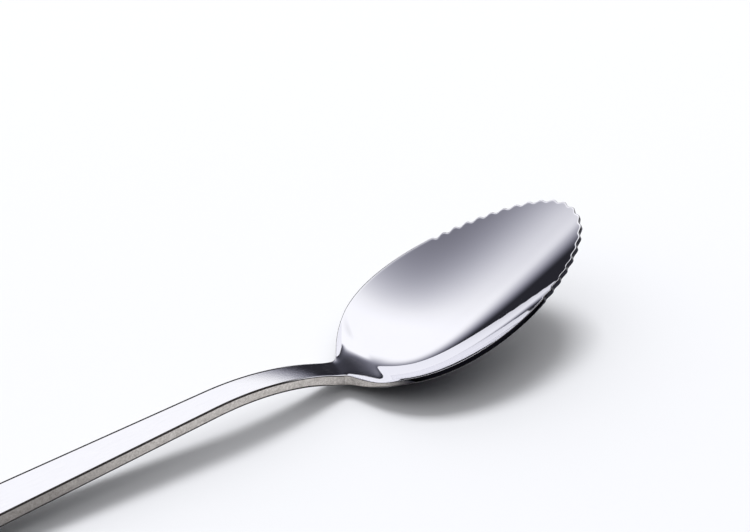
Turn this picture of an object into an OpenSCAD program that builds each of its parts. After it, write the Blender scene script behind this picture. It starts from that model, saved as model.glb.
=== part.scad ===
// Grapefruit spoon: a pointed bowl with a toothed tip on a flat bar handle.
// It lies as it rests on a table: X runs along the spoon with the tip at +X, Z is up,
// and the origin is on the table under the middle of the spoon.

/* [Bowl] */
// Length of the bowl along the table, from the neck to the tip
bowl_length = 52; // [40:0.5:65]
// Widest distance across the rim
bowl_width = 30; // [22:0.5:38]
// Deepest drop of the hollow below the rim
bowl_depth = 7.9; // [5:0.1:12]
// Height of the tip above the neck
tip_rise = 16.8; // [8:0.1:24]
// Dip of the rim below a straight line from the neck to the tip
rim_dip = 1.2; // [0:0.1:3]
// Thickness of the pressed sheet
sheet = 1; // [0.6:0.05:1.5]

/* [Teeth] */
// Distance from one tooth to the next along the rim
tooth_pitch = 2.4; // [1.6:0.1:4]
// Depth of the notches between the teeth
tooth_depth = 0.35; // [0.2:0.05:0.8]
// Teeth on the left of the tip, seen from the handle
teeth_left = 12; // [4:1:14]
// Teeth on the right of the tip, seen from the handle
teeth_right = 9; // [4:1:14]

/* [Handle] */
// Length of the handle along its front face
handle_length = 105; // [80:1:130]
// Width at the neck, before it flares into the bowl
neck_width = 3.9; // [3:0.1:6]
// Flare of the neck's two edges where it meets the bowl
neck_flare = 0.3; // [0:0.1:0.8]
// Width before the rounded end
end_width = 8.6; // [5:0.1:14]
// Thickness at the neck
neck_thick = 2.5; // [1.5:0.1:4]
// Thickness at the end
end_thick = 3.5; // [1.5:0.1:5]
// Length over which the handle's slope eases into the bowl's
neck_ease = 2.5; // [1:0.1:6]
// Steepest slope of the front face as it climbs out of the bowl, in degrees
neck_slope = 25.1; // [12:0.1:40]
// Slope of the straight run down to its end, in degrees
handle_fall = 4.42; // [0:0.01:12]
// Length of the bend between the neck and the straight run
bend_length = 24.7; // [10:0.1:50]
// Bevel along the two back edges
back_bevel = 0.7; // [0.2:0.1:1.2]

/* [Hidden] */
steel = [0.80, 0.80, 0.82];

// Half of the rim seen from above, and the hollow's drop along the middle, as control points
joint_half = neck_width / 2 + neck_flare;
half_rim = [
    [0, joint_half],
    [0.058 * bowl_length, joint_half + 0.25],
    [0.057 * bowl_length, 0.365 * bowl_width],
    [0.19 * bowl_length, 0.805 * bowl_width],
    [0.78 * bowl_length, 0.507 * bowl_width],
    [bowl_length, 0.303 * bowl_width],
    [bowl_length, 0]
];
hollow_start = [0.165 * bowl_length, 0.662 * bowl_depth];
hollow = [
    [0, 0],
    hollow_start,
    [0.319 * bowl_length, 1.677 * bowl_depth],
    [0.531 * bowl_length, 0.807 * bowl_depth],
    [bowl_length, 0]
];
// Across the bowl the hollow rises to the rim by this power of the distance from the middle. The heel is
// flatter: its power is higher by heel_power up to heel_flat from the neck, and eases back over heel_turn
section_power = 2.25;
heel_power = 3;
heel_flat = 4;
heel_turn = 4;
curve_steps = 240;
rim_curve = [for (i = [0:curve_steps]) bezier(half_rim, i / curve_steps)];
hollow_curve = [for (i = [0:curve_steps]) bezier(hollow, i / curve_steps)];

// The sheet thickens to the handle's neck over this length
neck_blend = 5;

// The sheet's cut edge is upright at the neck and leans out over this length to this share of the
// way towards square with the sheet
lean_blend = 14;
edge_lean = 0.6;
// Middle of the bowl, towards which its slopes are taken inside the rim
heart = [0.45 * bowl_length, 0];

// The rim sets out down the slope of the bowl's middle and turns up within this length
rim_ease = 9;
root_fall = hollow_start[1] / hollow_start[0];
root_slope = atan(root_fall - tip_rise / bowl_length);

// Distance along the rim from the tip, against the curve's own parameter
rim_travel = [
    for (i = curve_steps, run = 0; i >= 0;
         run = run + (i > 0 ? norm(rim_curve[i] - rim_curve[i - 1]) : 0), i = i - 1)
        [run, i / curve_steps]
];
half_travel = rim_travel[curve_steps][0];

// Stations along half of the rim: close together over the teeth, then wider to the neck
steps_per_tooth = 6;
plain_steps = 26;
toothed_steps = steps_per_tooth * max(teeth_left, teeth_right);
toothed_travel = toothed_steps * tooth_pitch / steps_per_tooth;
stations = concat(
    [for (i = [0:toothed_steps]) i * tooth_pitch / steps_per_tooth],
    [for (i = [1:plain_steps])
        toothed_travel + (half_travel - toothed_travel) * i / plain_steps]
);
last_station = len(stations) - 1;

// Rings run from the middle line of the bowl, which stops short of the tip, out to the rim
rings = 10;
spine_reach = 0.78 * bowl_length;

// Sections along the handle: through the ease, the bend and the round end
ease_steps = 6;
bend_steps = 24;
end_turn = 84;
end_steps = 14;
end_start = handle_length - end_width / 2 * sin(end_turn);
handle_runs = concat(
    [for (i = [0:ease_steps]) neck_ease * i / ease_steps],
    [for (i = [1:bend_steps]) neck_ease + bend_length * i / bend_steps],
    [for (i = [0:end_steps]) end_start + end_width / 2 * sin(end_turn * i / end_steps)]
);

// The neck's sections lean from upright at the joint to square with the front face,
// and its flare runs out over a shorter length
lean_length = 8;
flare_length = 5;
least_bevel = 0.05;

// Height that puts the bowl's underside on the table, and shift that centres the length
lift = -min([for (p = hollow_curve) sheet_point([p[0], 0], 1)[2]]);
centre_shift = -(sheet_point([bowl_length, 0], 1)[0] + path(handle_length)[0]) / 2;

// Point on a Bezier curve of any degree, with t from 0 to 1
function bezier(points, t) =
    len(points) == 1
        ? points[0]
        : bezier([for (i = [0:len(points) - 2]) points[i] * (1 - t) + points[i + 1] * t], t);

function smooth(t) =
    let (u = min(max(t, 0), 1))
    u * u * (3 - 2 * u);

function half_width(x) = lookup(x, rim_curve);

function neck_dip(x) =
    let (left = max(1 - x / rim_ease, 0))
    root_fall * x * left * left;

function rim_height(x) =
    let (u = x / bowl_length)
    tip_rise * u - 6.75 * rim_dip * u * u * (1 - u) - neck_dip(x);

function across_power(x) = section_power + heel_power * (1 - smooth((x - heel_flat) / heel_turn));

// Height of the hollow's face, from the middle of the bowl up to the rim
function front(x, y) =
    let (
        across = min(abs(y) / max(half_width(x), 0.01), 1),
        drop = lookup(x, hollow_curve) - neck_dip(x)
    )
    rim_height(x) - drop * (1 - pow(across, across_power(x)));

function wall(x) = neck_thick + (sheet - neck_thick) * smooth(x / neck_blend);

// Rim from above at a distance from the tip, cut back by the notches
function rim_point(travel, teeth, spine) =
    let (
        p = bezier(half_rim, lookup(travel, rim_travel)),
        notch = travel < teeth * tooth_pitch
            ? tooth_depth * (1 - cos(360 * travel / tooth_pitch)) / 2
            : 0
    )
    p + (spine - p) * notch / norm(spine - p);

// One point of the bowl from above: k counts stations from the right of the neck to the left
function plan_point(k, j) =
    let (
        travel = stations[abs(k)],
        spine = [spine_reach * (1 - travel / half_travel), 0],
        rim = rim_point(travel, k < 0 ? teeth_right : teeth_left, spine),
        p = spine + (rim - spine) * j / rings
    )
    [p[0], k < 0 ? -p[1] : p[1]];

// Slope of the hollow's face, taken a little inside the rim
function face_slope(p) =
    let (
        at = p + (heart - p) * 0.03,
        step = 0.1,
        along = front(at[0] + step, at[1]) - front(at[0] - step, at[1]),
        across = front(at[0], at[1] + step) - front(at[0], at[1] - step)
    )
    [along, across] / (2 * step);

// Point of the sheet over a plan point: on the hollow's face at depth 0, on the back at depth 1
function sheet_point(p, depth) =
    let (
        lean = edge_lean * smooth(p[0] / lean_blend) * face_slope(p),
        down = [lean[0], lean[1], -1]
    )
    [p[0], p[1], front(p[0], p[1])] + depth * wall(p[0]) / norm(down) * down;

function split(a, b, c, d) = [[a, b, c], [a, c, d]];

// Step in x and z along an arc that turns evenly from one slope to another
function arc(length, from, to) =
    let (
        half_turn = (to - from) / 2,
        chord = half_turn == 0 ? length : length * sin(half_turn) / (half_turn * PI / 180),
        slope = from + half_turn
    )
    [-chord * cos(slope), chord * sin(slope)];

// Front face of the handle at a distance from the neck: x, z and slope
function path(run) =
    let (
        eased = min(run, neck_ease),
        bent = min(max(run - neck_ease, 0), bend_length),
        straight = max(run - neck_ease - bend_length, 0),
        start = root_slope + (neck_slope - root_slope) * eased / neck_ease,
        slope = start - (neck_slope + handle_fall) * bent / bend_length,
        at = arc(eased, root_slope, start) + arc(bent, start, slope) + arc(straight, slope, slope)
    )
    [at[0], at[1], slope];

function handle_half(run) =
    let (
        taper = (neck_width + (end_width - neck_width) * run / handle_length) / 2,
        near_joint = max(1 - run / flare_length, 0),
        round = max(run - end_start, 0) / (end_width / 2)
    )
    (taper + neck_flare * near_joint * near_joint) * sqrt(1 - round * round);

// Six corners of the handle's section: flat front, square sides and a bevelled back
function handle_section(run) =
    let (
        at = path(run),
        half = handle_half(run),
        thick = neck_thick + (end_thick - neck_thick) * run / handle_length,
        bevel = max(min(back_bevel * smooth(run / lean_length), 0.45 * half), least_bevel),
        lean = at[2] * smooth(run / lean_length)
    )
    [
        for (corner = [
            [-half, 0], [half, 0], [half, thick - bevel],
            [half - bevel, thick], [bevel - half, thick], [-half, thick - bevel]
        ])
            [at[0] - corner[1] * sin(lean), corner[0], at[1] - corner[1] * cos(lean)]
    ];

// Pressed bowl: a thin shell with teeth round the tip, thick where it meets the handle
module bowl() {
    grid = [for (k = [-last_station:last_station], j = [0:rings]) plan_point(k, j)];
    row = rings + 1;
    back = len(grid);
    end = 2 * last_station;
    faces = [
        for (k = [0:end - 1], j = [0:rings - 1])
            let (a = k * row + j, b = a + row)
            each concat(split(a, b, b + 1, a + 1), split(back + a, back + a + 1, back + b + 1, back + b)),
        for (k = [0:end - 1])
            let (a = k * row + rings, b = a + row)
            each split(a, b, back + b, back + a),
        for (j = [0:rings - 1])
            let (a = j, b = end * row + j)
            each concat(split(a, a + 1, back + a + 1, back + a), split(b + 1, b, back + b, back + b + 1))
    ];
    color(steel)
        translate([centre_shift, 0, lift])
            polyhedron(
                points = concat([for (p = grid) sheet_point(p, 0)], [for (p = grid) sheet_point(p, 1)]),
                faces = faces
            );
}

// Bar handle: climbs out of the neck, bends over and runs straight down to a round end
module handle() {
    corners = 6;
    last = len(handle_runs) - 1;
    faces = [
        [for (i = [0:corners - 1]) i],
        [for (i = [corners - 1:-1:0]) last * corners + i],
        for (s = [0:last - 1], i = [0:corners - 1])
            let (a = s * corners + i, b = s * corners + (i + 1) % corners)
            each split(a, a + corners, b + corners, b)
    ];
    color(steel)
        translate([centre_shift, 0, lift])
            polyhedron(points = [for (run = handle_runs) each handle_section(run)], faces = faces);
}

bowl();
handle();
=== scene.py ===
from math import atan, cos, pi, radians, sin

import bmesh
import bpy
import numpy as np
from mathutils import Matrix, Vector


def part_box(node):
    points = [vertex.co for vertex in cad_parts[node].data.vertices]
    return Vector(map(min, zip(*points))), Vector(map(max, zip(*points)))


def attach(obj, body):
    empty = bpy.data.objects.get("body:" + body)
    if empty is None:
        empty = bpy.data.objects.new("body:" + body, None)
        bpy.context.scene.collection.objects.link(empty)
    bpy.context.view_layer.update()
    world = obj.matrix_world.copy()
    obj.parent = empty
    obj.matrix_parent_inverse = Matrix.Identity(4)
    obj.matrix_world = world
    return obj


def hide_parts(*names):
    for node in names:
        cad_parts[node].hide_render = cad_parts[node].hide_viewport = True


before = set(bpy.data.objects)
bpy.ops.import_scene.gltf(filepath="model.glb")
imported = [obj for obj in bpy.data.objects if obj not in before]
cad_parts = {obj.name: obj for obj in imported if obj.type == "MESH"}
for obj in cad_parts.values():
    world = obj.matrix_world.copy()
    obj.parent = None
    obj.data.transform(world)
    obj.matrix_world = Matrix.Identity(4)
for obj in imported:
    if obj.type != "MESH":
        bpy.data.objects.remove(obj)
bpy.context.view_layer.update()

# Bowl
# A pointed spoon bowl pressed from stainless sheet about 1 mm thick, with small teeth cut round its tip.
# It thickens towards the neck, where it is joined flush to the handle, and its hollow is mirror-polished.
mm = 0.001
bowl_length = 52 * mm
bowl_width = 30 * mm
bowl_depth = 7.9 * mm
tip_rise = 16.8 * mm
rim_dip = 1.2 * mm
sheet = 1 * mm
neck_width = 3.9 * mm
neck_flare = 0.3 * mm
neck_thick = 2.5 * mm
neck_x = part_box("bowl")[0].x
# Across the bowl the hollow rises to the rim by a power of the distance from the middle. The power is
# higher in the heel, which is flatter, and eases back past it
section_power = 2.25
heel_power = 3
heel_flat = 4 * mm
heel_turn = 4 * mm
# Lengths from the neck over which the rim turns up from the slope of the middle, the sheet thins out,
# and its cut edge leans from upright to this share of the way towards square with the sheet
rim_ease = 9 * mm
neck_blend = 5 * mm
lean_blend = 14 * mm
edge_lean = 0.6
# Grinding the joint and buffing the heel shift the face by a few hundredths of a millimetre
ground_off = 0.045 * mm
ground_reach = 2.2 * mm
buffed = 0.035 * mm
buff_start = 3 * mm
buff_peak = 7 * mm
buff_end = 15 * mm


def bezier(points, t):
    """Point or points on a Bezier curve of any degree."""
    points = [np.asarray(p, float) for p in points]
    t = np.asarray(t, float)[..., None]
    while len(points) > 1:
        points = [a * (1 - t) + b * t for a, b in zip(points, points[1:])]
    return points[0]


def smooth(t):
    t = np.clip(t, 0, 1)
    return t * t * (3 - 2 * t)


# Half of the rim seen from above, and the hollow's drop along the middle, as fine curves
curve_t = np.linspace(0, 1, num=2001)
joint_half = neck_width / 2 + neck_flare
rim_curve = bezier([
    (0, joint_half),
    (0.058 * bowl_length, joint_half + 0.25 * mm),
    (0.057 * bowl_length, 0.365 * bowl_width),
    (0.19 * bowl_length, 0.805 * bowl_width),
    (0.78 * bowl_length, 0.507 * bowl_width),
    (bowl_length, 0.303 * bowl_width),
    (bowl_length, 0),
], curve_t)
hollow_start = (0.165 * bowl_length, 0.662 * bowl_depth)
hollow_curve = bezier([
    (0, 0),
    hollow_start,
    (0.319 * bowl_length, 1.677 * bowl_depth),
    (0.531 * bowl_length, 0.807 * bowl_depth),
    (bowl_length, 0),
], curve_t)
root_fall = hollow_start[1] / hollow_start[0]


def ground_flush(run):
    """The little that grinding the joint flush takes off the bowl and leaves standing on the handle."""
    return ground_off * run / ground_reach * np.exp(1 - run / ground_reach)


def hollow_height(x, y):
    """Height of the hollow's face above the neck, from the middle up to the rim."""
    u = x / bowl_length
    neck_dip = root_fall * x * np.maximum(1 - x / rim_ease, 0) ** 2
    dip = 6.75 * u * u * (1 - u)  # 1 where it is deepest, two thirds of the way to the tip
    rim = tip_rise * u - rim_dip * dip - neck_dip
    buff_in = smooth((x - buff_start) / (buff_peak - buff_start))
    buff_out = smooth((buff_end - x) / (buff_end - buff_peak))
    drop = np.interp(x, *hollow_curve.T) - neck_dip + ground_flush(x) - buffed * buff_in * buff_out
    half_width = np.maximum(np.interp(x, *rim_curve.T), 0.01 * mm)  # never 0, not even at the tip
    power = section_power + heel_power * (1 - smooth((x - heel_flat) / heel_turn))
    return rim - drop * (1 - np.minimum(abs(y) / half_width, 1) ** power)


def bowl_wall(plan):
    return neck_thick + (sheet - neck_thick) * smooth(plan[:, 0] / neck_blend)


def through_sheet(plan):
    """Way from the hollow's face to the back: down, and away from the neck out with the face's slope,
    which is taken a little inside the rim."""
    heart = (0.45 * bowl_length, 0)
    inset = 0.03
    x, y = (plan + (heart - plan) * inset).T
    step = 0.1 * mm
    lean = edge_lean * smooth(plan[:, 0] / lean_blend) / (2 * step)
    down = np.stack([
        lean * (hollow_height(x + step, y) - hollow_height(x - step, y)),
        lean * (hollow_height(x, y + step) - hollow_height(x, y - step)),
        -np.ones(len(plan)),
    ], 1)
    return down * (bowl_wall(plan) / np.linalg.norm(down, axis=1))[:, None]


middle = np.stack([hollow_curve[:, 0], 0 * hollow_curve[:, 0]], 1)
lift = -np.min(hollow_height(*middle.T) + through_sheet(middle)[:, 2])


def bowl_skin(plan, depth):
    """Points of the bowl's sheet over plan points, from the hollow's face at depth 0 to the back at 1."""
    face = np.stack([plan[:, 0] + neck_x, plan[:, 1], hollow_height(*plan.T) + lift], 1)
    return face + np.reshape(depth, (-1, 1)) * through_sheet(plan)


def wrapped_plate(name, rim, spine, skin, wall, front_lip, back_lip, rings, lip_material):
    """A closed plate wrapped from one grid: out from its middle line over the front, round the rounded
    lip, down the side, and back under to the middle line. Each lip has a width along its face and a
    depth down the side. The side takes the piece's material 1, the halves of the lips next to it
    material 2, and the other half of the front lip the one numbered lip_material."""
    lip_steps = 8
    side_steps = 2
    hem = 0.05 * mm
    weld = 0.0005 * mm
    inward = spine - rim
    reach = np.linalg.norm(inward, axis=1)[:, None]
    inward = inward / reach
    rows = []
    side_ends = []
    for face_depth, (lip_width, lip_depth) in ((0, front_lip), (1, back_lip)):
        lip_width = np.reshape(lip_width, (-1, 1))
        # Where the plate is narrow, the face and its lip keep to these shares of the reach
        tight = np.minimum(lip_width + hem, 0.9 * reach)
        lip_start = np.minimum(lip_width, 0.8 * reach)
        spread = [tight + (reach - tight) * (1 - j / rings) for j in range(rings + 1)]
        face = [skin(rim + inward * distance, face_depth) for distance in spread]
        side_ends.append(abs(face_depth - lip_depth / wall(rim)))
        turn = (skin(rim + inward * lip_start, face_depth), skin(rim, face_depth), skin(rim, side_ends[-1]))
        face += [bezier(turn, j / lip_steps) for j in range(lip_steps + 1)]
        rows += face if face_depth == 0 else face[::-1]
    top, bottom = side_ends
    side = [skin(rim, top + (bottom - top) * j / side_steps) for j in range(1, side_steps)]
    half = len(rows) // 2
    rows[half:half] = side
    points = np.array(rows)

    bm = bmesh.new()
    last_row, last_station = len(rows) - 1, len(rim) - 1
    bmesh.ops.create_grid(bm, x_segments=last_station, y_segments=last_row, size=1)
    place = {}
    for vert in bm.verts:
        place[vert] = (round((vert.co.y + 1) / 2 * last_row), round((vert.co.x + 1) / 2 * last_station))
    side_top = half - 1
    side_bottom = side_top + side_steps
    half_lip = lip_steps / 2
    for face in bm.faces:
        face.smooth = True
        row = sum(place[vert][0] for vert in face.verts) / 4
        if side_top < row < side_bottom:
            face.material_index = 1
        elif side_top - half_lip < row < side_bottom + half_lip:
            face.material_index = 2
        elif side_top - lip_steps < row < side_top:
            face.material_index = lip_material
    for vert, (row, station) in place.items():
        vert.co = points[row, station]
    bmesh.ops.remove_doubles(bm, verts=bm.verts[:], dist=weld)
    joint = bmesh.ops.edgeloop_fill(bm, edges=[edge for edge in bm.edges if edge.is_boundary])["faces"]
    for face in joint:
        for edge in face.edges:
            edge.smooth = False
    bmesh.ops.recalc_face_normals(bm, faces=bm.faces[:])
    mesh = bpy.data.meshes.new(name)
    bm.to_mesh(mesh)
    bm.free()
    piece = bpy.data.objects.new(name, mesh)
    bpy.context.scene.collection.objects.link(piece)
    return piece


# Teeth: shallow waves in the rim, a longer run on the left of the tip than on the right
tooth_pitch = 2.4 * mm
tooth_depth = 0.35 * mm
teeth_left = 12
teeth_right = 9
steps_per_tooth = 14
plain_steps = 70
spine_reach = 0.78 * bowl_length
tip_to_neck = rim_curve[::-1]
rim_travel = np.concatenate([[0], np.cumsum(np.linalg.norm(np.diff(tip_to_neck, axis=0), axis=1))])
toothed_travel = np.arange(teeth_left * steps_per_tooth + 1) * tooth_pitch / steps_per_tooth
plain_travel = np.linspace(toothed_travel[-1], rim_travel[-1], plain_steps + 1)[1:]
half_travel = np.concatenate([toothed_travel, plain_travel])
side = np.concatenate([-np.ones(len(half_travel) - 1), np.ones(len(half_travel))])
travel = np.concatenate([half_travel[:0:-1], half_travel])
bowl_rim = np.stack([np.interp(travel, rim_travel, tip_to_neck[:, i]) for i in (0, 1)], 1)
bowl_rim[:, 1] *= side
bowl_spine = np.stack([spine_reach * (1 - travel / rim_travel[-1]), 0 * travel], 1)
toothed = travel < np.where(side < 0, teeth_right, teeth_left) * tooth_pitch
notch = np.where(toothed, tooth_depth * (1 - np.cos(2 * pi * travel / tooth_pitch)) / 2, 0)
to_spine = bowl_spine - bowl_rim
bowl_rim += to_spine * (notch / np.linalg.norm(to_spine, axis=1))[:, None]
rim_lip = (0.32 * mm, 0.2 * mm)
under_lip = (0.15 * mm, 0.15 * mm)
bowl = wrapped_plate(
    "spoon_bowl", bowl_rim, bowl_spine, bowl_skin, bowl_wall, rim_lip, under_lip, rings=30, lip_material=0)


def linear(colour):
    """sRGB hex to linear RGBA."""
    parts = [int(colour[i:i + 2], 16) / 255 for i in (1, 3, 5)]
    return [c / 12.92 if c <= 0.04045 else ((c + 0.055) / 1.055) ** 2.4 for c in parts] + [1]


def add(tree, kind, inputs=(), **settings):
    """Adds a node with its settings, and its inputs as values or as links from other sockets."""
    made = tree.nodes.new(kind)
    for key, value in settings.items():
        setattr(made, key, value)
    for key, value in dict(inputs).items():
        if isinstance(value, bpy.types.NodeSocket):
            tree.links.new(value, made.inputs[key])
        else:
            made.inputs[key].default_value = value
    return made


def start_material(name):
    material = bpy.data.materials.new(name)
    material.use_nodes = True
    material.node_tree.nodes.clear()
    return material, material.node_tree


# Mirror-polished stainless steel: clear reflections that soften to a fine satin grain at the neck,
# where the polishing mop doesn't reach, with faint cloudiness left by the compound. The grain is drawn
# coarser than life, so that it shows
grain_size = 0.28 * mm
grain_relief = 0.001 * mm
cloud_size = 9 * mm
mirror_start = 3 * mm
mirror_end = 9 * mm
mirror_steel, tree = start_material("mirror_polished_stainless_steel")
place = add(tree, "ShaderNodeTexCoord").outputs["Object"]
along = add(tree, "ShaderNodeSeparateXYZ", {"Vector": place}).outputs["X"]
satin = add(tree, "ShaderNodeMapRange", {
    "Value": along, "From Min": neck_x + mirror_start, "From Max": neck_x + mirror_end,
    "To Min": 1, "To Max": 0,
}, interpolation_type="SMOOTHSTEP").outputs["Result"]
clouds = add(tree, "ShaderNodeTexNoise", {
    "Vector": place, "Scale": 1 / cloud_size, "Detail": 4,
}).outputs["Fac"]
polish = add(tree, "ShaderNodeMapRange", {
    "Value": clouds, "From Min": 0.3, "From Max": 0.7, "To Min": 0.02, "To Max": 0.05,
}).outputs["Result"]
roughness = add(tree, "ShaderNodeMix", {"Factor": satin, "A": polish, "B": 0.07}).outputs["Result"]
grain = add(tree, "ShaderNodeTexNoise", {
    "Vector": place, "Scale": 1 / grain_size, "Detail": 3,
}).outputs["Fac"]
grain_height = add(tree, "ShaderNodeMath", {0: grain, 1: satin}, operation="MULTIPLY").outputs["Value"]
bump = add(tree, "ShaderNodeBump", {
    "Height": grain_height, "Strength": 1, "Distance": grain_relief,
}).outputs["Normal"]
tint = add(tree, "ShaderNodeMix", {
    "Factor": clouds, "A": linear("#ECECF0"), "B": linear("#F2F2F5"),
}, data_type="RGBA").outputs["Result"]
steel = add(tree, "ShaderNodeBsdfPrincipled", {
    "Base Color": tint, "Metallic": 1, "Roughness": roughness, "Normal": bump,
}).outputs["BSDF"]
add(tree, "ShaderNodeOutputMaterial", {"Surface": steel})

# Sheared stainless steel: the blank's cut side, left matte and finely pitted, with a warm grey cast.
# It runs out into polish along the bowl's edge, where its near-black colour is a painted shade for the
# shaded table that the polished edge mirrors. A thin dark line shows where bowl and handle join, and
# painted shade darkens the side towards the handle's end. The pits are drawn coarser than life, so that
# they show
pit_size = 0.26 * mm
pit_relief = 0.025 * mm
blotch_size = 0.6 * mm
joint_line = 0.14 * mm
matte_start = 2 * mm
matte_end = 9 * mm
# Lengths back from the neck over which painted shade darkens the side towards the handle's end
end_shade_start = 36 * mm
end_shade_end = 64 * mm
sheared_steel, tree = start_material("sheared_matte_stainless_steel")
place = add(tree, "ShaderNodeTexCoord").outputs["Object"]
along = add(tree, "ShaderNodeSeparateXYZ", {"Vector": place}).outputs["X"]
matte = add(tree, "ShaderNodeMapRange", {
    "Value": along, "From Min": neck_x + matte_start, "From Max": neck_x + matte_end,
    "To Min": 1, "To Max": 0,
}, interpolation_type="SMOOTHSTEP").outputs["Result"]
pits = add(tree, "ShaderNodeTexNoise", {
    "Vector": place, "Scale": 1 / pit_size, "Detail": 3,
}).outputs["Fac"]
blotches = add(tree, "ShaderNodeTexNoise", {
    "Vector": place, "Scale": 1 / blotch_size, "Detail": 3,
}).outputs["Fac"]
cut = add(tree, "ShaderNodeMath", {0: pits, 1: blotches}, operation="ADD").outputs["Value"]
shade = add(tree, "ShaderNodeMapRange", {"Value": cut, "From Min": 0.7, "From Max": 1.3}).outputs["Result"]
grey = add(tree, "ShaderNodeMix", {
    "Factor": shade, "A": linear("#B8B2AC"), "B": linear("#E6E1DB"),
}, data_type="RGBA").outputs["Result"]
# Painted shade: the side's grey darkens halfway to near-black towards the handle's end
end_unshaded = add(tree, "ShaderNodeMapRange", {
    "Value": along, "From Min": neck_x - end_shade_end, "From Max": neck_x - end_shade_start,
    "To Min": 0.5, "To Max": 1,
}, interpolation_type="SMOOTHSTEP").outputs["Result"]
end_shaded_grey = add(tree, "ShaderNodeMix", {
    "Factor": end_unshaded, "A": linear("#3A3634"), "B": grey,
}, data_type="RGBA").outputs["Result"]
# Painted shade: past the matte zone the bowl's polished cut edge is coloured near-black, for the shaded
# table it mirrors
grey_with_shaded_edge = add(tree, "ShaderNodeMix", {
    "Factor": matte, "A": linear("#2C2C33"), "B": end_shaded_grey,
}, data_type="RGBA").outputs["Result"]
from_joint = add(tree, "ShaderNodeMath", {0: along, 1: neck_x}, operation="SUBTRACT").outputs["Value"]
off_joint = add(tree, "ShaderNodeMath", {0: from_joint}, operation="ABSOLUTE").outputs["Value"]
seam = add(tree, "ShaderNodeMapRange", {
    "Value": off_joint, "From Min": 0, "From Max": joint_line, "To Min": 0.35, "To Max": 0,
}, interpolation_type="SMOOTHSTEP").outputs["Result"]
colour = add(tree, "ShaderNodeMix", {
    "Factor": seam, "A": grey_with_shaded_edge, "B": linear("#3A3634"),
}, data_type="RGBA").outputs["Result"]
roughness = add(tree, "ShaderNodeMix", {"Factor": matte, "A": 0.05, "B": 0.5}).outputs["Result"]
pit_depth = add(tree, "ShaderNodeMath", {0: pits, 1: matte}, operation="MULTIPLY").outputs["Value"]
bump = add(tree, "ShaderNodeBump", {
    "Height": pit_depth, "Strength": 1, "Distance": pit_relief,
}).outputs["Normal"]
steel = add(tree, "ShaderNodeBsdfPrincipled", {
    "Base Color": colour, "Metallic": 1, "Roughness": roughness, "Normal": bump,
}).outputs["BSDF"]
add(tree, "ShaderNodeOutputMaterial", {"Surface": steel})

# Burred stainless steel: the torn corners of the cut side, drawn as fine near-black specked lines, a
# painted shade for the shadowed table that they mirror
speck_size = 0.4 * mm
# Painted shade: near-black and dark grey, mixed in random specks
painted_shade_dark = linear("#1C1A1A")
painted_shade_pale = linear("#484442")
shaded_burr_steel, tree = start_material("burred_stainless_steel_painted_shade")
place = add(tree, "ShaderNodeTexCoord").outputs["Object"]
specks = add(tree, "ShaderNodeTexNoise", {
    "Vector": place, "Scale": 1 / speck_size, "Detail": 3,
}).outputs["Fac"]
painted_edge_shade = add(tree, "ShaderNodeMix", {
    "Factor": specks, "A": painted_shade_dark, "B": painted_shade_pale,
}, data_type="RGBA").outputs["Result"]
steel = add(tree, "ShaderNodeBsdfPrincipled", {
    "Base Color": painted_edge_shade, "Metallic": 1, "Roughness": 0.45,
}).outputs["BSDF"]
add(tree, "ShaderNodeOutputMaterial", {"Surface": steel})

for material in (mirror_steel, sheared_steel, shaded_burr_steel):
    bowl.data.materials.append(material)
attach(bowl, "root")
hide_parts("bowl")

# Handle
# A flat stainless bar that climbs out of the bowl, bends over and runs straight down to a round end.
# Its faces are satin-polished, its sheared sides stay matte, and its back edges are broken by a bevel.
handle_length = 105 * mm
end_width = 8.6 * mm
end_thick = 3.5 * mm
neck_ease = 2.5 * mm
neck_slope = radians(25.1)
handle_fall = radians(4.42)
bend_length = 24.7 * mm
flare_length = 5 * mm
# The bar's thickness runs straight down at the joint and square to the front past this length, over
# which the front's slight crown rises too
lean_length = 8 * mm
crown_height = 0.07 * mm
root_slope = atan(root_fall - tip_rise / bowl_length)


def handle_slope(run):
    eased = root_slope + (neck_slope - root_slope) * np.minimum(run / neck_ease, 1)
    bent = np.clip((run - neck_ease) / bend_length, 0, 1)
    return eased - (neck_slope + handle_fall) * bent


# The middle line of the front, added up from short steps along its slope
fine_run = np.linspace(0, handle_length, num=8401)
middle_slope = handle_slope((fine_run[1:] + fine_run[:-1]) / 2)
run_step = fine_run[1]
path_x = neck_x - np.concatenate([[0], np.cumsum(np.cos(middle_slope) * run_step)])
path_z = lift + np.concatenate([[0], np.cumsum(np.sin(middle_slope) * run_step)]) + ground_flush(fine_run)


def handle_wall(plan):
    return neck_thick + (end_thick - neck_thick) * plan[:, 0] / handle_length


def half_taper(run):
    return (neck_width + (end_width - neck_width) * run / handle_length) / 2


def handle_skin(plan, depth):
    """Points of the bar over distances along and across its front, from the front at depth 0 to the back
    at 1. The polishing belt leaves the front very slightly crowned."""
    run = plan[:, 0]
    lean = handle_slope(run) * smooth(run / lean_length)
    across = plan[:, 1] / half_taper(run)
    crown = crown_height * smooth(run / lean_length) * across ** 2
    below = depth * handle_wall(plan) + (1 - depth) * crown
    x = np.interp(run, fine_run, path_x) - below * np.sin(lean)
    z = np.interp(run, fine_run, path_z) - below * np.cos(lean)
    return np.stack([x, plan[:, 1], z], 1)


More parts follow.
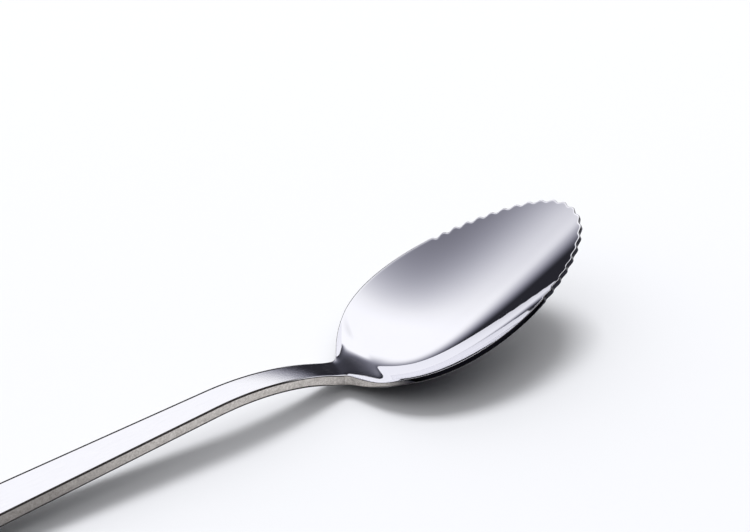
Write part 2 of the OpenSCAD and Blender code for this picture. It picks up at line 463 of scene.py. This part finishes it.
end_radius = end_width / 2
end_start = handle_length - end_radius
bend_end = neck_ease + bend_length
eased_run = np.linspace(0, neck_ease, num=10)[:-1]
bent_run = np.linspace(neck_ease, bend_end, num=70)[:-1]
straight_run = np.linspace(bend_end, end_start, num=60)[:-1]
round_run = end_start + end_radius * np.sin(np.linspace(0, pi / 2, num=28))
run = np.concatenate([eased_run, bent_run, straight_run, round_run])
flared = half_taper(run) + neck_flare * np.maximum(1 - run / flare_length, 0) ** 2
half_width = flared * np.sqrt(np.clip(1 - (np.maximum(run - end_start, 0) / end_radius) ** 2, 0, 1))
handle_edge = np.stack([run, half_width], 1)
handle_rim = np.concatenate([handle_edge * (1, -1), handle_edge[-2::-1]])
spine_end = end_start - 0.5 * mm
spine_run = np.minimum(handle_rim[:, 0], spine_end)
handle_spine = np.stack([spine_run, 0 * spine_run], 1)
off_joint = smooth(handle_rim[:, 0] / lean_length)


def edge_size(at_joint, along_bar):
    return at_joint + (along_bar - at_joint) * off_joint


front_edge = (edge_size(0.3 * mm, 0.42 * mm), edge_size(0.25 * mm, 0.12 * mm))
back_bevel = (edge_size(0.2 * mm, 0.7 * mm), edge_size(0.2 * mm, 0.7 * mm))
handle = wrapped_plate(
    "spoon_handle", handle_rim, handle_spine, handle_skin, handle_wall, front_edge, back_bevel,
    rings=6, lip_material=3)

# Satin-polished stainless steel: broad soft reflections, with a fine grain along the bar that breaks
# them into specks where light turns to dark, and that the belt wipes smooth at the neck
streak_length = 4 * mm
belt_relief = 0.01 * mm
grain_start = 7 * mm
grain_end = 2 * mm
satin_steel, tree = start_material("satin_polished_stainless_steel")
place = add(tree, "ShaderNodeTexCoord").outputs["Object"]
streaks_at = add(tree, "ShaderNodeMapping", {
    "Vector": place, "Scale": (1 / streak_length, 1 / grain_size, 1 / grain_size),
}).outputs["Vector"]
streaks = add(tree, "ShaderNodeTexNoise", {"Vector": streaks_at, "Scale": 1, "Detail": 4}).outputs["Fac"]
grain = add(tree, "ShaderNodeTexNoise", {
    "Vector": place, "Scale": 1 / grain_size, "Detail": 3,
}).outputs["Fac"]
roughness = add(tree, "ShaderNodeMapRange", {
    "Value": streaks, "From Min": 0.3, "From Max": 0.7, "To Min": 0.05, "To Max": 0.12,
}).outputs["Result"]
tint = add(tree, "ShaderNodeMix", {
    "Factor": streaks, "A": linear("#E8E8EB"), "B": linear("#F2F2F4"),
}, data_type="RGBA").outputs["Result"]
along = add(tree, "ShaderNodeSeparateXYZ", {"Vector": place}).outputs["X"]
grained = add(tree, "ShaderNodeMapRange", {
    "Value": along, "From Min": neck_x - grain_start, "From Max": neck_x - grain_end,
    "To Min": 1, "To Max": 0,
}, interpolation_type="SMOOTHSTEP").outputs["Result"]
grain_height = add(tree, "ShaderNodeMath", {0: grain, 1: grained}, operation="MULTIPLY").outputs["Value"]
bump = add(tree, "ShaderNodeBump", {
    "Height": grain_height, "Strength": 1, "Distance": belt_relief,
}).outputs["Normal"]
steel = add(tree, "ShaderNodeBsdfPrincipled", {
    "Base Color": tint, "Metallic": 1, "Roughness": roughness, "Normal": bump,
}).outputs["BSDF"]
add(tree, "ShaderNodeOutputMaterial", {"Surface": steel})

# Stainless steel of the front's long edges: past the neck they are coloured dark in specks, a painted
# shade for the dark surroundings that the rounded edges mirror, and they stay bright steel at the neck
front_edge_shade_start = 5 * mm
front_edge_shade_full = 13 * mm
shaded_front_edge_steel, tree = start_material("front_edge_stainless_steel_painted_shade")
place = add(tree, "ShaderNodeTexCoord").outputs["Object"]
along = add(tree, "ShaderNodeSeparateXYZ", {"Vector": place}).outputs["X"]
front_edge_shade = add(tree, "ShaderNodeMapRange", {
    "Value": along, "From Min": neck_x - front_edge_shade_full, "From Max": neck_x - front_edge_shade_start,
    "To Min": 1, "To Max": 0,
}, interpolation_type="SMOOTHSTEP").outputs["Result"]
specks = add(tree, "ShaderNodeTexNoise", {
    "Vector": place, "Scale": 1 / speck_size, "Detail": 3,
}).outputs["Fac"]
# Painted shade: the long edges are coloured dark in specks past the neck
painted_edge_shade = add(tree, "ShaderNodeMix", {
    "Factor": specks, "A": painted_shade_dark, "B": painted_shade_pale,
}, data_type="RGBA").outputs["Result"]
colour = add(tree, "ShaderNodeMix", {
    "Factor": front_edge_shade, "A": linear("#E8E8EB"), "B": painted_edge_shade,
}, data_type="RGBA").outputs["Result"]
roughness = add(tree, "ShaderNodeMix", {"Factor": front_edge_shade, "A": 0.1, "B": 0.45}).outputs["Result"]
steel = add(tree, "ShaderNodeBsdfPrincipled", {
    "Base Color": colour, "Metallic": 1, "Roughness": roughness,
}).outputs["BSDF"]
add(tree, "ShaderNodeOutputMaterial", {"Surface": steel})

for material in (satin_steel, sheared_steel, shaded_burr_steel, shaded_front_edge_steel):
    handle.data.materials.append(material)
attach(handle, "root")
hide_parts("handle")

# Table
# A plain matte white board that the spoon rests on with the bowl's underside and the handle's end. It is
# far larger than the spoon, so that its edges stay out of the picture.
table_size = 4
bm = bmesh.new()
bmesh.ops.create_grid(bm, x_segments=1, y_segments=1, size=table_size / 2)
mesh = bpy.data.meshes.new("table")
bm.to_mesh(mesh)
bm.free()
table = bpy.data.objects.new("table", mesh)
bpy.context.scene.collection.objects.link(table)
# Matte white board: an even white, darker in light that has scattered once, so that shadows stay deep
white_board, tree = start_material("matte_white_board")
scattered = add(tree, "ShaderNodeLightPath").outputs["Diffuse Depth"]
white = add(tree, "ShaderNodeMix", {
    "Factor": scattered, "A": linear("#F5F6FA"), "B": linear("#303030"),
}, data_type="RGBA").outputs["Result"]
paint = add(tree, "ShaderNodeBsdfPrincipled", {
    "Base Color": white, "Roughness": 0.7, "Specular IOR Level": 0.2,
}).outputs["BSDF"]
add(tree, "ShaderNodeOutputMaterial", {"Surface": paint})
table.data.materials.append(white_board)

# Light
# A softbox stands behind the spoon and leans over it, so the shadows fall towards the camera. The studio
# that the steel mirrors is a cool dome, brightest at the back right, over a dark horizon that stands
# higher behind the spoon. Matte surfaces get a soft white glow from the back left instead.
view_yaw = radians(30.83)
away = Vector((sin(view_yaw), cos(view_yaw), 0))
right = Vector((cos(view_yaw), -sin(view_yaw), 0))


def towards(turn, height):
    """Direction by degrees turned right from straight away, and degrees above the table."""
    flat = right * sin(radians(turn)) + away * cos(radians(turn))
    return flat * cos(radians(height)) + Vector((0, 0, sin(radians(height))))


softbox_distance = 3
softbox_width = 1.3
softbox_depth = 0.8
softbox_power = 51
lit_point = Vector((neck_x, 0, 10 * mm))
lamp = bpy.data.lights.new("softbox", "AREA")
lamp.shape = "RECTANGLE"
lamp.size = softbox_width
lamp.size_y = softbox_depth
lamp.energy = softbox_power
softbox = bpy.data.objects.new("softbox", lamp)
to_softbox = towards(turn=-4, height=64)
softbox.location = lit_point + to_softbox * softbox_distance
softbox.rotation_euler = to_softbox.to_track_quat("Z", "Y").to_euler()
softbox.visible_glossy = False
bpy.context.scene.collection.objects.link(softbox)

world = bpy.data.worlds.new("studio")
bpy.context.scene.world = world
world.use_nodes = True
tree = world.node_tree
tree.nodes.clear()
direction = add(tree, "ShaderNodeTexCoord").outputs["Generated"]
height = add(tree, "ShaderNodeSeparateXYZ", {"Vector": direction}).outputs["Z"]
bright_side = add(tree, "ShaderNodeVectorMath", {
    0: direction, 1: towards(turn=27.5, height=28.4),
}, operation="DOT_PRODUCT").outputs["Value"]
dome = add(tree, "ShaderNodeMapRange", {
    "Value": bright_side, "From Min": -0.27, "From Max": 0.58, "To Min": 0.22, "To Max": 1.15,
}, interpolation_type="SMOOTHSTEP").outputs["Result"]
back_side = add(tree, "ShaderNodeVectorMath", {
    0: direction, 1: towards(turn=-4.8, height=0),
}, operation="DOT_PRODUCT").outputs["Value"]
back_wall = add(tree, "ShaderNodeMapRange", {
    "Value": back_side, "From Min": 0.4, "From Max": 0.58,
}, interpolation_type="SMOOTHSTEP").outputs["Result"]
low_horizon = add(tree, "ShaderNodeMapRange", {
    "Value": height, "From Min": 0.02, "From Max": 0.34, "To Min": 0.1, "To Max": 1,
}, interpolation_type="SMOOTHSTEP").outputs["Result"]
high_horizon = add(tree, "ShaderNodeMapRange", {
    "Value": height, "From Min": 0.3, "From Max": 0.64, "To Min": 0.035, "To Max": 1,
}, interpolation_type="SMOOTHSTEP").outputs["Result"]
horizon = add(tree, "ShaderNodeMix", {
    "Factor": back_wall, "A": low_horizon, "B": high_horizon,
}).outputs["Result"]
level = add(tree, "ShaderNodeMath", {0: dome, 1: horizon}, operation="MULTIPLY").outputs["Value"]
ray = add(tree, "ShaderNodeLightPath")
seen = add(tree, "ShaderNodeMath", {
    0: ray.outputs["Is Camera Ray"], 1: ray.outputs["Is Glossy Ray"],
}, operation="MAXIMUM").outputs["Value"]
left_side = add(tree, "ShaderNodeVectorMath", {
    0: direction, 1: towards(turn=-35, height=55),
}, operation="DOT_PRODUCT").outputs["Value"]
fill = add(tree, "ShaderNodeMapRange", {
    "Value": left_side, "From Min": 0.1, "From Max": 0.95, "To Min": 0, "To Max": 1.02,
}, interpolation_type="SMOOTHSTEP").outputs["Result"]
strength = add(tree, "ShaderNodeMix", {"Factor": seen, "A": fill, "B": level}).outputs["Result"]
cool = add(tree, "ShaderNodeMix", {
    "Factor": level, "A": linear("#C6C6E0"), "B": linear("#FBFBFF"),
}, data_type="RGBA").outputs["Result"]
tint = add(tree, "ShaderNodeMix", {
    "Factor": seen, "A": linear("#FFFFFF"), "B": cool,
}, data_type="RGBA").outputs["Result"]
sky = add(tree, "ShaderNodeBackground", {"Color": tint, "Strength": strength}).outputs["Background"]
add(tree, "ShaderNodeOutputWorld", {"Surface": sky})

# Camera
# It looks down across the spoon from the side of the handle, through a long lens, at a point beside the
# bowl. The lens is worked out from its focal length in pixels of the picture.
view_height = radians(41.09)
view_distance = 406.7 * mm
aim = Vector((neck_x + 23.48 * mm, 25.9 * mm, lift - 4.668 * mm))
focal_pixels = 2033.5
image_width = 750
camera_data = bpy.data.cameras.new("camera")
camera_data.sensor_fit = "HORIZONTAL"
camera_data.sensor_width = 36
camera_data.lens = camera_data.sensor_width * focal_pixels / image_width
camera = bpy.data.objects.new("camera", camera_data)
view = away * cos(view_height) - Vector((0, 0, sin(view_height)))
camera.location = aim - view * view_distance
camera.rotation_euler = view.to_track_quat("-Z", "Y").to_euler()
bpy.context.scene.collection.objects.link(camera)
bpy.context.scene.camera = camera
bpy.context.scene.view_settings.view_transform = "Standard"
